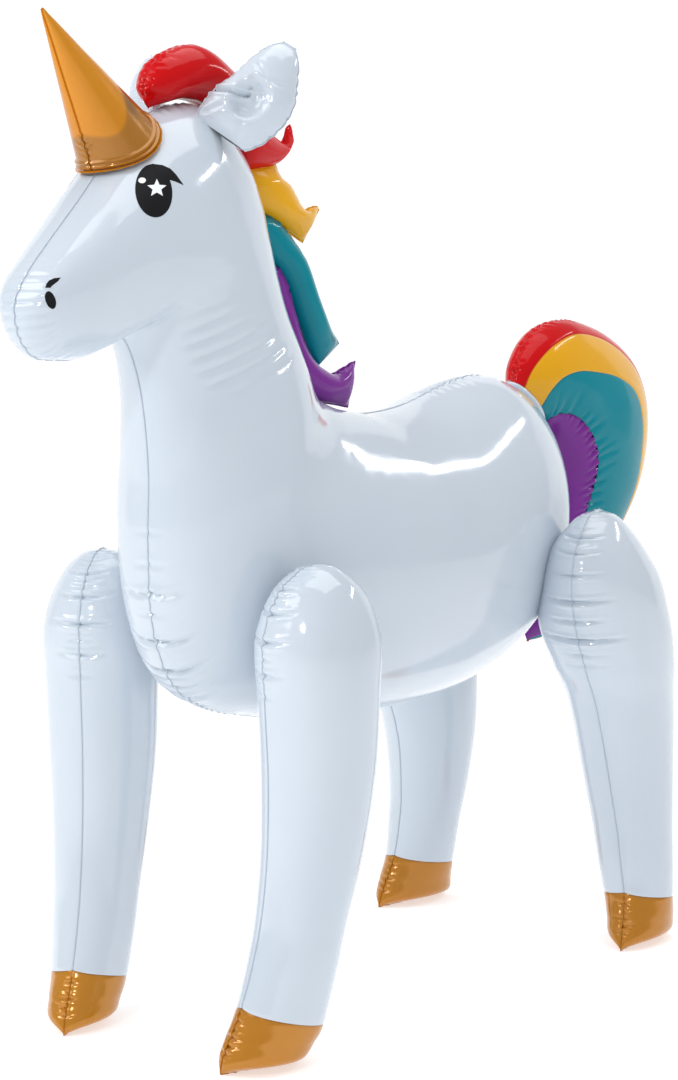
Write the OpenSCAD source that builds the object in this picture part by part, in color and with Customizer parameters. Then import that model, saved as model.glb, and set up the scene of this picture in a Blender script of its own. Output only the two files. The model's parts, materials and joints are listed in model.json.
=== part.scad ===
// Standing inflatable unicorn: film side panels, legs, horn, ears, mane, tail and air valves.
// Millimetres. The figure faces -Y, its left side is +X, and it stands on the plane z = 0.

/* [Figure] */
// Height from the floor to the horn's tip
figure_h = 1400; // [1120:10:1680]
// Thickness of the film
film_t = 0.4; // [0.3:0.05:0.6]
// Gap left at each side of the centre weld
weld_gap = 0.1; // [0.1:0.05:0.3]

/* [Legs] */
// Distance from the centre plane to a front leg
front_leg_x = 199; // [195:1:215]
// Distance behind the front of the feet's middle to a front leg (negative is forward)
front_leg_y = -376; // [-400:1:-350]
// Toe-in of the front legs
front_toe_in = 20.5; // [10:0.5:25]
// Distance from the centre plane to a rear leg
rear_leg_x = 193; // [190:1:215]
// Distance from the feet's middle to a rear leg
rear_leg_y = 452; // [440:1:470]
// Toe-out of the rear legs
rear_toe_out = 8; // [0:0.5:15]
// Radius of the welded sleeve between a leg and the body
sleeve_r = 34; // [25:1:40]

/* [Horn] */
// Half width of the horn at its base
horn_r = 59; // [45:1:62]
// How far the base follows the round of the forehead downward at its sides
horn_drop = 15; // [10:1:30]

/* [Valves] */
// Radius of the base ring welded to the film
valve_base_r = 15; // [12:0.5:18]
// Outer radius of the stem
valve_stem_r = 5.5; // [5:0.1:6]
// Radius of the stem's bore
valve_bore_r = 3.4; // [3:0.1:3.6]
// Height of the stem above the film when it is drawn out
valve_stem_h = 14; // [12:0.5:16]
// Distance that the stem pushes in
valve_sink = 12; // [8:0.5:12]

/* [Mesh] */
// Rows of facets in each station interval of the body
body_rows = 2; // [1:1:3]
// Facets round half of the body
body_cols = 10; // [8:1:12]
// Facets round half of a leg
leg_cols = 8; // [6:1:10]

/* [Hidden] */

scale_k = figure_h / 1400;
// Fore-aft shift that puts the middle of the figure's length over the origin
centre_y = -38.5;
white = "aliceblue";
gold = "goldenrod";
valve_color = "ghostwhite";
round_fn = 48;

// A station is a chord in the plane of a weld: its front end, its back end, then the half width of
// the section on the outer and the inner side, and how far the plane leans outward there.
// All are at a figure height of 1400.

// Body, from the rump to the muzzle: belly, chest, throat and jaw, and back, nape and face
body_stations = [
    [[440, 650], [452, 745], 0],
    [[425, 600], [440, 800], 60],
    [[400, 550], [418, 850], 100],
    [[365, 505], [385, 888], 130],
    [[320, 475], [345, 914], 150],
    [[250, 448], [290, 926], 166],
    [[170, 430], [205, 913], 176],
    [[60, 420], [90, 882], 182],
    [[-60, 420], [0, 872], 182],
    [[-180, 428], [-55, 876], 176],
    [[-290, 444], [-110, 884], 166],
    [[-385, 468], [-150, 896], 154],
    [[-450, 510], [-180, 912], 142],
    [[-488, 590], [-200, 936], 136],
    [[-497, 700], [-216, 962], 133],
    [[-495, 800], [-232, 994], 123],
    [[-505, 890], [-248, 1035], 107],
    [[-525, 955], [-262, 1085], 98],
    [[-550, 988], [-276, 1135], 96],
    [[-578, 984], [-294, 1190], 98],
    [[-607, 968], [-330, 1250], 100],
    [[-640, 956], [-400, 1300], 98],
    [[-672, 955], [-490, 1284], 90],
    [[-709, 958], [-566, 1224], 76],
    [[-732, 976], [-630, 1158], 63],
    [[-742, 997], [-683, 1105], 50],
    [[-745, 1018], [-713, 1074], 34],
    [[-743, 1032], [-731, 1052], 0]
];

// Front leg, from the sole weld to the domed top: distance forward of the leg's line, and height
front_leg_stations = [
    [[154, 4], [34, 4], 0.8, 0.8, 0],
    [[151, 22], [24, 16], 36, 36, 0],
    [[139, 48], [13, 32], 45, 45, 0],
    [[122, 82], [-1, 54], 53, 53, 0],
    [[102, 150], [-20, 130], 60, 60, 0],
    [[91, 200], [-34, 190], 63, 63, 0],
    [[80, 300], [-62, 296], 71, 71, 0],
    [[79, 400], [-79, 400], 79, 78, 0],
    [[84, 500], [-84, 500], 83, 76, 0],
    [[86, 580], [-88, 580], 82, 70, 0],
    [[64, 640], [-66, 640], 60, 54, 0],
    [[30, 672], [-30, 672], 30, 28, 0],
    [[8, 680], [-8, 680], 0, 0, 0]
];
rear_leg_stations = [
    [[98, 4], [-68, 4], 0.8, 0.8, 36],
    [[92, 22], [-69, 18], 34, 34, 35],
    [[80, 50], [-64, 40], 46, 46, 33],
    [[68, 84], [-60, 68], 55, 55, 28],
    [[64, 150], [-62, 150], 62, 62, 19],
    [[66, 200], [-68, 200], 66, 66, 13],
    [[84, 300], [-79, 300], 77, 74, 3],
    [[122, 400], [-80, 400], 84, 82, 0],
    [[164, 460], [-66, 460], 94, 90, 0],
    [[204, 530], [-42, 530], 98, 92, 0],
    [[222, 600], [-12, 600], 90, 72, 0],
    [[216, 650], [30, 650], 70, 54, 2],
    [[192, 686], [70, 686], 48, 42, 4],
    [[168, 708], [98, 708], 26, 24, 4],
    [[144, 716], [124, 716], 0, 0, 4]
];
// Number of stations that belong to the hoof
hoof_stations = 4;
sole_weld_h = 4;
sole_weld_t = 1.6;

// Mane strips: outer edge, edge along the nape, half width
mane_red_stations = [
    [[-497, 1298], [-490, 1290], 0],
    [[-500, 1324], [-462, 1299], 24],
    [[-475, 1358], [-424, 1307], 36],
    [[-410, 1383], [-380, 1302], 42],
    [[-347, 1364], [-340, 1272], 41],
    [[-291, 1328], [-319, 1247], 37],
    [[-246, 1282], [-302, 1220], 29],
    [[-206, 1264], [-228, 1230], 18],
    [[-185, 1276], [-204, 1262], 11],
    [[-186, 1296], [-193, 1292], 0]
];
mane_yellow_stations = [
    [[-216, 1216], [-294, 1206], 22],
    [[-194, 1204], [-288, 1186], 26],
    [[-170, 1177], [-264, 1167], 27],
    [[-154, 1170], [-212, 1146], 24],
    [[-134, 1177], [-166, 1127], 16],
    [[-122, 1172], [-134, 1142], 8],
    [[-119, 1166], [-124, 1154], 0]
];
mane_teal_stations = [
    [[-240, 1140], [-266, 1132], 8],
    [[-178, 1118], [-254, 1096], 22],
    [[-156, 1088], [-224, 1066], 26],
    [[-132, 1042], [-190, 1020], 28],
    [[-108, 1006], [-158, 978], 25],
    [[-82, 982], [-128, 954], 17],
    [[-70, 970], [-88, 960], 0]
];
mane_purple_stations = [
    [[-240, 1080], [-253, 1074], 6],
    [[-208, 1030], [-238, 1022], 14],
    [[-172, 976], [-212, 964], 20],
    [[-134, 946], [-180, 918], 24],
    [[-90, 932], [-128, 893], 25],
    [[-52, 944], [-62, 882], 18],
    [[-34, 947], [-38, 916], 8],
    [[-31, 946], [-31, 938], 0]
];

// Tail, from its root over the top and down to its tip: outer edge, inner edge, half width, and
// how far across from the outer edge the red, yellow and teal end
tail_stations = [
    [[400, 914], [478, 852], 26, 0.15, 0.68, 0.99],
    [[416, 954], [486, 846], 38, 0.15, 0.565, 0.985],
    [[468, 1000], [492, 840], 48, 0.165, 0.51, 0.895],
    [[548, 1018], [498, 832], 54, 0.13, 0.47, 0.85],
    [[638, 1006], [502, 818], 57, 0.1, 0.41, 0.8],
    [[730, 974], [503, 798], 58, 0.085, 0.315, 0.762],
    [[792, 926], [504, 772], 58, 0.075, 0.23, 0.73],
    [[822, 860], [504, 742], 57, 0.07, 0.215, 0.714],
    [[814, 780], [502, 706], 55, 0.065, 0.2, 0.745],
    [[783, 715], [500, 665], 52, 0.065, 0.2, 0.785],
    [[729, 655], [497, 625], 46, 0.07, 0.2, 0.8],
    [[665, 595], [490, 585], 38, 0.08, 0.2, 0.77],
    [[592, 535], [478, 550], 28, 0.09, 0.2, 0.68],
    [[520, 484], [462, 522], 17, 0.1, 0.22, 0.55],
    [[454, 476], [444, 494], 0, 0.12, 0.25, 0.5]
];
// Root collar between the rump and the tail
collar_stations = [
    [[392, 902], [468, 842], 22],
    [[400, 913], [478, 851], 25]
];

// Horn: front edge, back edge, half width, and drop of the section's middle
horn_tip = [-689, 1398.7];
horn_base_front = [-600, 1202];
horn_base_back = [-510, 1278];

// Ear: how far along it, from base to tip, and its two edges across it, and its half thickness
ear_base = [78, -412, 1258];
ear_tip = [132, -340, 1383];
ear_side = [0.56, 0.30, -0.77];
ear_stations = [
    [[-52, -3], [30, -1], 4],
    [[-51, 14], [43, 16], 16],
    [[-46, 42], [52, 48], 22],
    [[-39, 68], [48, 80], 24],
    [[-33, 98], [33, 106], 20],
    [[-22, 127], [15, 128], 12],
    [[-9, 140], [-1, 140], 0]
];

// Places of the valves on the right side: station interval, and angle round the section
body_valve_at = [5.5, 42];
mane_valve_at = [3, 0];
tail_valve_at = [7, -20];

closed_w = 0.5;
stem_clear = 0.3;
base_t = 1.8;
stem_foot_r = 9.5;
stem_foot_t = 1.2;
plug_clear = 0.3;
plug_depth = 10;
plug_cap_r = 7.5;
plug_cap_t = 2;
strap_w = 3;
strap_t = 1;
// How far the strap stands out from the inside of its loop
strap_out = 0.2;
loop_t = 1.5;
film_hole_clear = 0.8;
sleeve_l = 40;
sleeve_t = 1;
front_sleeve_at = [132, -366, 590];
rear_sleeve_at = [130, 352, 600];
leg_rows = 2;
hoof_rows = 4;
hoof_weld_gap = 0.01;
horn_tip_r = 2;
horn_rows = 5;
horn_cols = 10;
horn_ring_w = 5;
horn_ring_gap = 1.2;
ear_cols = 5;
mane_cols = 6;
strip_rows = 1;
film_hole_h = 12;
base_lift = -1;
stem_foot_depth = 7;
plug_seat_gap = 0.3;
loop_z = 2;

// ---- Points along and across a station list ----

function unit(v) = v / norm(v);
function clamp_index(s, i) = max(0, min(len(s) - 1, i));

// Smooth curve through the values, which may be numbers or points
function smooth(a, b, c, d, u) =
    b + 0.5 * u * (c - a + u * (2 * a - 5 * b + 4 * c - d + u * (3 * (b - c) + d - a)));

function station(s, t) =
    let (i = min(floor(t), len(s) - 2), u = t - i,
         a = s[clamp_index(s, i - 1)], b = s[i], c = s[i + 1], d = s[clamp_index(s, i + 2)])
    [for (k = [0 : len(b) - 1]) smooth(a[k], b[k], c[k], d[k], u)];

// Point of a section at an angle from -90 (first end of the chord) to 90 (second end)
function section_point(front, back, half_w, drop, angle) =
    let (mid = (front + back) / 2, half = (back - front) / 2,
         across = norm(half) > 0 ? [half[1], -half[0]] / norm(half) : [0, 0],
         p = mid + half * sin(angle) + across * drop * cos(angle) * cos(angle))
    [max(half_w, 0) * cos(angle), p[0], p[1]];

// Angle at which a section has gone a fraction of the way across its chord
function chord_angle(fraction) = asin(2 * fraction - 1);

// Rows of points: w_at is the place of the half width in a station, and lo and hi give the part
// of the section that is covered, as fractions across the chord
function patch(s, t0, t1, rows, cols, w_at, drops = [0, 0], lo = undef, hi = undef) =
    [for (r = [0 : rows])
        let (t = t0 + (t1 - t0) * r / rows, q = station(s, t),
             a0 = lo == undef ? -90 : chord_angle(q[lo]),
             a1 = hi == undef ? 90 : chord_angle(q[hi]),
             drop = drops[0] + (drops[1] - drops[0]) * r / rows)
        [for (c = [0 : cols]) section_point(q[0], q[1], q[w_at], drop, a0 + (a1 - a0) * c / cols)]];

// Inward offset of each point of a grid, kept on its own side of the weld plane. A row that is
// closed to a line goes straight inward in the weld plane.
function inner(grid, t) =
    let (rows = len(grid) - 1, cols = len(grid[0]) - 1, half = floor(cols / 2))
    [for (r = [0 : rows])
        let (closed = grid[r][half][0] < closed_w,
             deep = r < rows / 2 ? grid[min(2, rows)] : grid[max(rows - 2, 0)],
             heart = (deep[0] + deep[cols]) / 2)
        [for (c = [0 : cols])
            let (along = grid[min(r + 1, rows)][c] - grid[max(r - 1, 0)][c],
                 across = grid[r][min(c + 1, cols)] - grid[r][max(c - 1, 0)],
                 inward = [0, heart[1] - grid[r][c][1], heart[2] - grid[r][c][2]],
                 p = grid[r][c] + unit(closed ? inward : cross(along, across)) * t)
            [max(p[0], 0), p[1], p[2]]]];

// Closed sheet of film between a grid and its inner copy. place is the origin and the three
// directions that the grid's axes take; lean shifts each row outward from the weld plane.
module film(grid, place = [[0, 0, 0], [1, 0, 0], [0, 1, 0], [0, 0, 1]], lean = undef) {
    rows = len(grid);
    cols = len(grid[0]);
    count = rows * cols;
    under = inner(grid, film_t / scale_k);
    points = [for (sheet = [grid, under]) for (r = [0 : rows - 1]) for (p = sheet[r])
        let (out = p[0] + weld_gap + (lean == undef ? 0 : lean[r]))
        place[0] + out * place[1] + p[1] * place[2] + p[2] * place[3]];
    outer_faces = [for (r = [0 : rows - 2]) for (c = [0 : cols - 2])
        let (i = r * cols + c)
        each [[i, i + 1, i + cols + 1], [i, i + cols + 1, i + cols]]];
    inner_faces = [for (f = outer_faces) [f[2] + count, f[1] + count, f[0] + count]];
    border = concat([for (c = [0 : cols - 1]) c],
                    [for (r = [1 : rows - 1]) r * cols + cols - 1],
                    [for (c = [cols - 2 : -1 : 0]) (rows - 1) * cols + c],
                    [for (r = [rows - 2 : -1 : 1]) r * cols]);
    edges = len(border);
    rim_faces = [for (k = [0 : edges - 1])
        let (i = border[k], j = border[(k + 1) % edges])
        each [[i, i + count, j + count], [i, j + count, j]]];
    faces = concat(outer_faces, inner_faces, rim_faces);
    mirrored = cross(place[1], place[2]) * place[3] < 0;
    polyhedron(points, mirrored ? faces : [for (f = faces) [f[2], f[1], f[0]]], convexity = 6);
}

// Puts a piece drawn in the centre plane's frame where the figure stands
module figure() {
    scale(scale_k)
        translate([0, centre_y, 0])
            children();
}
module right_side() {
    mirror([1, 0, 0]) children();
}
module both_sides() {
    children();
    right_side() children();
}

// ---- Body ----

module body_half() {
    intervals = len(body_stations) - 1;
    film(patch(body_stations, 0, intervals, intervals * body_rows, body_cols, 2));
}
module body_left_panel() {
    color(white) figure() body_half();
}
module body_right_panel() {
    color(white) difference() {
        figure() right_side() body_half();
        valve_hole("body");
    }
}

// ---- Legs and hooves ----

// Origin and directions of a leg on the left side: outward, backward, up
function leg_frame(x, y, toe_out) =
    [[x, y, 0], [cos(toe_out), sin(toe_out), 0], [-sin(toe_out), cos(toe_out), 0], [0, 0, 1]];
front_frame = leg_frame(front_leg_x, front_leg_y, -front_toe_in);
rear_frame = leg_frame(rear_leg_x, rear_leg_y, rear_toe_out);

// Leg stations give the distance forward, and a patch takes the distance backward
function leg_chords(s) = [for (q = s) [[-q[0][0], q[0][1]], [-q[1][0], q[1][1]], q[2], q[3], q[4]]];

// One film of a leg. The inner one is the outer one turned to face the body.
module leg_film(s, frame, t0, t1, rows, outward) {
    way = outward ? 1 : -1;
    grid = patch(leg_chords(s), t0, t1, rows, leg_cols, outward ? 2 : 3);
    lean = [for (r = [0 : rows]) way * station(s, t0 + (t1 - t0) * r / rows)[4]];
    film(grid, [frame[0], way * frame[1], frame[2], frame[3]], lean);
}
module leg_panel(s, frame, outward) {
    start = hoof_stations - 1;
    intervals = len(s) - 1 - start;
    leg_film(s, frame, start, len(s) - 1, intervals * leg_rows, outward);
}
module hoof(s, frame) {
    end = hoof_stations - 1 - hoof_weld_gap;
    for (outward = [true, false]) leg_film(s, frame, 0, end, hoof_rows, outward);
    sole_weld(s[0], frame);
}
// Straight weld from toe to heel, flat underneath, that the hoof stands on
module sole_weld(q, frame) {
    length = q[0][0] - q[1][0];
    turn = atan2(frame[1][1], frame[1][0]);
    translate(frame[0])
        rotate([0, 0, turn])
            translate([q[4] - sole_weld_t / 2, -q[0][0], 0])
                cube([sole_weld_t, length, sole_weld_h - weld_gap]);
}

module leg_front_left_outer() {
    color(white) figure() leg_panel(front_leg_stations, front_frame, true);
}
module leg_front_left_inner() {
    color(white) figure() leg_panel(front_leg_stations, front_frame, false);
}
module leg_front_right_outer() {
    color(white) figure() right_side() leg_panel(front_leg_stations, front_frame, true);
}
module leg_front_right_inner() {
    color(white) figure() right_side() leg_panel(front_leg_stations, front_frame, false);
}
module leg_rear_left_outer() {
    color(white) figure() leg_panel(rear_leg_stations, rear_frame, true);
}
module leg_rear_left_inner() {
    color(white) figure() leg_panel(rear_leg_stations, rear_frame, false);
}
module leg_rear_right_outer() {
    color(white) figure() right_side() leg_panel(rear_leg_stations, rear_frame, true);
}
module leg_rear_right_inner() {
    color(white) figure() right_side() leg_panel(rear_leg_stations, rear_frame, false);
}
module hoof_front_left() {
    color(gold) figure() hoof(front_leg_stations, front_frame);
}
module hoof_front_right() {
    color(gold) figure() right_side() hoof(front_leg_stations, front_frame);
}
module hoof_rear_left() {
    color(gold) figure() hoof(rear_leg_stations, rear_frame);
}
module hoof_rear_right() {
    color(gold) figure() right_side() hoof(rear_leg_stations, rear_frame);
}

// Welded ring through which a leg is held and filled
module sleeve(place) {
    translate(place)
        rotate([0, 90, 0])
            difference() {
                cylinder(r = sleeve_r, h = sleeve_l, center = true, $fn = round_fn);
                cylinder(r = sleeve_r - sleeve_t, h = sleeve_l + 1, center = true, $fn = round_fn);
            }
}
module sleeve_front_left() {
    color(white) figure() sleeve(front_sleeve_at);
}
module sleeve_front_right() {
    color(white) figure() right_side() sleeve(front_sleeve_at);
}
module sleeve_rear_left() {
    color(white) figure() sleeve(rear_sleeve_at);
}
module sleeve_rear_right() {
    color(white) figure() right_side() sleeve(rear_sleeve_at);
}

// ---- Horn ----

// The horn as two chords: its base and its tip
function horn_stations() =
    let (tip_half = (horn_base_back - horn_base_front) / norm(horn_base_back - horn_base_front) * horn_tip_r)
    [[horn_base_front, horn_base_back, horn_r],
     [horn_tip - tip_half, horn_tip + tip_half, horn_tip_r]];
function horn_chord(f) = let (s = horn_stations()) [for (k = [0 : 2]) s[0][k] + (s[1][k] - s[0][k]) * f];
// Rows from the base, which follows the forehead, to the tip
function horn_grid() = [for (r = [0 : horn_rows])
    let (f = r / horn_rows, q = horn_chord(f))
    [for (c = [0 : horn_cols])
        section_point(q[0], q[1], q[2], horn_drop * (1 - f), -90 + 180 * c / horn_cols)]];
module horn_left_panel() {
    color(gold) figure() film(horn_grid());
}
module horn_right_panel() {
    color(gold) figure() right_side() film(horn_grid());
}
// Narrow ring of film round the horn's base
function horn_ring_grid() = [for (f = [0, 1])
    let (q = horn_chord(0), half = unit(q[1] - q[0]) * f * horn_ring_w)
    [for (c = [0 : horn_cols])
        section_point(q[0] - half, q[1] + half, q[2] + f * horn_ring_w, horn_drop,
                      -90 + 180 * c / horn_cols) - [0, 0, horn_ring_gap]]];
module horn_weld_ring() {
    color(gold) figure() both_sides() film(horn_ring_grid());
}

// ---- Ears ----

ear_along = unit(ear_tip - ear_base);
ear_across = unit(ear_side - (ear_side * ear_along) * ear_along);
ear_face = cross(ear_along, ear_across);
module ear_shape() {
    intervals = len(ear_stations) - 1;
    grid = patch(ear_stations, 0, intervals, intervals, ear_cols, 2);
    for (way = [1, -1])
        film(grid, [ear_base, way * ear_face, ear_across, ear_along]);
}
module ear_left() {
    color(white) figure() ear_shape();
}
module ear_right() {
    color(white) figure() right_side() ear_shape();
}

// ---- Mane ----

module strip(s, cols) {
    intervals = len(s) - 1;
    film(patch(s, 0, intervals, intervals * strip_rows, cols, 2));
}
module mane_strip(s, name = "") {
    figure() strip(s, mane_cols);
    difference() {
        figure() right_side() strip(s, mane_cols);
        if (name != "") valve_hole(name);
    }
}
module mane_red() {
    color("firebrick") mane_strip(mane_red_stations);
}
module mane_yellow() {
    color("goldenrod") mane_strip(mane_yellow_stations);
}
module mane_teal() {
    color("darkcyan") mane_strip(mane_teal_stations, "mane");
}
module mane_purple() {
    color("rebeccapurple") mane_strip(mane_purple_stations);
}

// ---- Tail ----

// A colour of the tail lies between two of the fractions in its stations. The gap keeps the
// strips face to face.
tail_fractions = [for (q = tail_stations) concat([q[0], q[1], q[2], 0], [q[3], q[4], q[5]], [1])];
module tail_strip(band, cols) {
    intervals = len(tail_stations) - 1;
    film(patch(tail_fractions, 0, intervals, intervals, cols, 2, [0, 0], 3 + band, 4 + band));
}
module tail_color(band, cols, name = "") {
    figure() tail_strip(band, cols);
    difference() {
        figure() right_side() tail_strip(band, cols);
        if (name != "") valve_hole(name);
    }
}
module tail_red() {
    color("firebrick") tail_color(0, 3);
}
module tail_yellow() {
    color("goldenrod") tail_color(1, 2);
}
module tail_teal() {
    color("darkcyan") tail_color(2, 3, "tail");
}
module tail_purple() {
    color("rebeccapurple") tail_color(3, 4);
}
module tail_collar() {
    color(white) figure() both_sides() film(patch(collar_stations, 0, 1, 1, mane_cols, 2));
}

// ---- Valves ----

// Point of a section and the outward direction there, on the left side
function place_on(s, at) =
    let (q = station(s, at[0]),
         p = section_point(q[0], q[1], q[2], 0, at[1]),
         step = 0.01,
         r = station(s, at[0] + step),
         along = section_point(r[0], r[1], r[2], 0, at[1]) - p,
         across = section_point(q[0], q[1], q[2], 0, at[1] + 1) - p)
    [p, -unit(cross(along, across))];
// Radius of the loop that slides on the stem, and of the hole that the stem and loop pass through
loop_r = valve_stem_r + plug_clear;
base_hole_r = norm([loop_r + strap_out + strap_t, strap_w / 2]) + stem_clear;

function valve_place(name) =
    name == "body" ? place_on(body_stations, body_valve_at) :
    name == "mane" ? place_on(mane_teal_stations, mane_valve_at) :
    place_on(tail_stations, tail_valve_at);

// Puts a valve, drawn upward from the film, at its place on the right side
module at_valve(name) {
    place = valve_place(name);
    p = (place[0] + [weld_gap, centre_y, 0]) * scale_k;
    n = place[1];
    right_side()
        translate(p)
            rotate([0, acos(n[2]), atan2(n[1], n[0])])
                children();
}
module valve_hole(name) {
    at_valve(name)
        cylinder(r = base_hole_r + film_hole_clear, h = film_hole_h, center = true, $fn = round_fn);
}
// Flat ring welded to the film
module valve_base(name) {
    color(valve_color)
        at_valve(name)
            translate([0, 0, base_lift])
                difference() {
                    cylinder(r = valve_base_r, h = base_t, $fn = round_fn);
                    translate([0, 0, -1])
                        cylinder(r = base_hole_r, h = base_t + 2, $fn = round_fn);
                }
}
// Tube that pushes in through the ring, with a foot that keeps it in
module valve_stem(name) {
    color(valve_color)
        at_valve(name)
            difference() {
                union() {
                    translate([0, 0, -stem_foot_depth])
                        cylinder(r = valve_stem_r, h = stem_foot_depth + valve_stem_h, $fn = round_fn);
                    translate([0, 0, -stem_foot_depth])
                        cylinder(r = stem_foot_r, h = stem_foot_t, $fn = round_fn);
                }
                translate([0, 0, -stem_foot_depth - 1])
                    cylinder(r = valve_bore_r, h = stem_foot_depth + valve_stem_h + 2, $fn = round_fn);
            }
}
// Stopper, its cap, and the strap down to a loop that slides on the stem
module valve_plug(name) {
    top = valve_stem_h + plug_seat_gap;
    color(valve_color)
        at_valve(name) {
            translate([0, 0, top - plug_depth])
                cylinder(r = valve_bore_r - plug_clear, h = plug_depth + plug_cap_t, $fn = round_fn);
            translate([0, 0, top])
                cylinder(r = plug_cap_r, h = plug_cap_t, $fn = round_fn);
            translate([loop_r + strap_out, -strap_w / 2, loop_z])
                cube([strap_t, strap_w, top + plug_cap_t / 2 - loop_z]);
            translate([0, 0, loop_z])
                difference() {
                    cylinder(r = loop_r + strap_t, h = loop_t, $fn = round_fn);
                    translate([0, 0, -1])
                        cylinder(r = loop_r, h = loop_t + 2, $fn = round_fn);
                }
        }
}
module body_valve_base() {
    valve_base("body");
}
module body_valve_stem() {
    valve_stem("body");
}
module body_valve_plug() {
    valve_plug("body");
}
module mane_valve_base() {
    valve_base("mane");
}
module mane_valve_stem() {
    valve_stem("mane");
}
module mane_valve_plug() {
    valve_plug("mane");
}
module tail_valve_base() {
    valve_base("tail");
}
module tail_valve_stem() {
    valve_stem("tail");
}
module tail_valve_plug() {
    valve_plug("tail");
}

body_left_panel();
body_right_panel();
leg_front_left_outer();
leg_front_left_inner();
leg_front_right_outer();
leg_front_right_inner();
leg_rear_left_outer();
leg_rear_left_inner();
leg_rear_right_outer();
leg_rear_right_inner();
hoof_front_left();
hoof_front_right();
hoof_rear_left();
hoof_rear_right();
sleeve_front_left();
sleeve_front_right();
sleeve_rear_left();
sleeve_rear_right();
horn_left_panel();
horn_right_panel();
horn_weld_ring();
ear_left();
ear_right();
mane_red();
mane_yellow();
mane_teal();
mane_purple();
tail_red();
tail_yellow();
tail_teal();
tail_purple();
tail_collar();
body_valve_base();
body_valve_stem();
body_valve_plug();
mane_valve_base();
mane_valve_stem();
mane_valve_plug();
tail_valve_base();
tail_valve_stem();
tail_valve_plug();
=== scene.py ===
"""Free-standing inflatable unicorn: every welded film panel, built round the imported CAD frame."""
import json
import math

import bmesh
import bpy
import numpy as np
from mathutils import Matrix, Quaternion, Vector, geometry
from mathutils.bvhtree import BVHTree


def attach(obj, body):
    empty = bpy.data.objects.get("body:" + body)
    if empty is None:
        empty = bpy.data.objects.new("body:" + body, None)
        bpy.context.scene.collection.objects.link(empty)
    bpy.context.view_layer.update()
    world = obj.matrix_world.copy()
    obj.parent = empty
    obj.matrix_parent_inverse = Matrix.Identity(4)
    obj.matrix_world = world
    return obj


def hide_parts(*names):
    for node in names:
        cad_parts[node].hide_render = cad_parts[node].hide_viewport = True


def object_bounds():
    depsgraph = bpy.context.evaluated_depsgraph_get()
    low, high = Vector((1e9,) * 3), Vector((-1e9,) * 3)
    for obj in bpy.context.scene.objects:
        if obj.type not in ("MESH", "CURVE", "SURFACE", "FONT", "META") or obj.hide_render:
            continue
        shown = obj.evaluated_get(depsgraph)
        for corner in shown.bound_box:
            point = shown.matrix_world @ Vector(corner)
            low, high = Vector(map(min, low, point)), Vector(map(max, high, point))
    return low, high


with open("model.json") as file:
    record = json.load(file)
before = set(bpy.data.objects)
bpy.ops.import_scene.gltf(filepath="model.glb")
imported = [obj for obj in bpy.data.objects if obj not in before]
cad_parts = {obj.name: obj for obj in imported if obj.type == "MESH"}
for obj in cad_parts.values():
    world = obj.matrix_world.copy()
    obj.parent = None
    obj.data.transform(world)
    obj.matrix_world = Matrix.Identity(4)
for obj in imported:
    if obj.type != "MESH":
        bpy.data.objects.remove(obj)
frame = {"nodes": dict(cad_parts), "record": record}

cad_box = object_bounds()

# ---- Size and place of the figure, from the frame ----
# Shapes are drawn in millimetres on a figure 1400 high, in the CAD's own stations.
FIGURE_H = 1400
MM = cad_box[1].z / FIGURE_H
FRONT_LEG_Y = -376
FRONT_TOE_IN = 20.5
REAR_TOE_OUT = 8
SEAM_X = 0.5          # half thickness of a weld
FILM_T = 0.4          # thickness of the film
FLANGE = 1.5          # width of the weld that stands out past a seam
BOW = 0.10            # how much a fold curves on its way out from its seam
FOLD_GAIN = 1.5       # depth of every crease across a seam, over its value in the lists
SWELL_AT = 2.4        # where the film swells beside a fold, in widths of the fold
TINY = 1e-9           # keeps a division away from zero

# Body: distance back and height of a chord's lower or front end and its upper or back end, half width
BODY = [
    [[440, 650], [452, 745], 0],
    [[425, 600], [440, 800], 60],
    [[400, 550], [418, 850], 100],
    [[365, 505], [385, 888], 130],
    [[320, 475], [345, 914], 150],
    [[250, 448], [290, 926], 166],
    [[170, 430], [205, 913], 176],
    [[60, 420], [90, 882], 182],
    [[-60, 420], [0, 872], 182],
    [[-180, 428], [-55, 876], 176],
    [[-290, 444], [-110, 884], 166],
    [[-385, 468], [-150, 896], 154],
    [[-450, 510], [-180, 912], 142],
    [[-488, 590], [-200, 936], 136],
    [[-497, 700], [-216, 962], 133],
    [[-495, 800], [-232, 994], 123],
    [[-505, 890], [-248, 1035], 107],
    [[-525, 955], [-262, 1085], 98],
    [[-550, 988], [-276, 1135], 96],
    [[-578, 984], [-294, 1190], 98],
    [[-607, 968], [-330, 1250], 100],
    [[-640, 956], [-400, 1300], 98],
    [[-672, 955], [-490, 1284], 90],
    [[-709, 958], [-566, 1224], 76],
    [[-732, 976], [-630, 1158], 63],
    [[-742, 997], [-683, 1105], 50],
    [[-745, 1018], [-713, 1074], 34],
    [[-743, 1032], [-731, 1052], 0],
]
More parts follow.
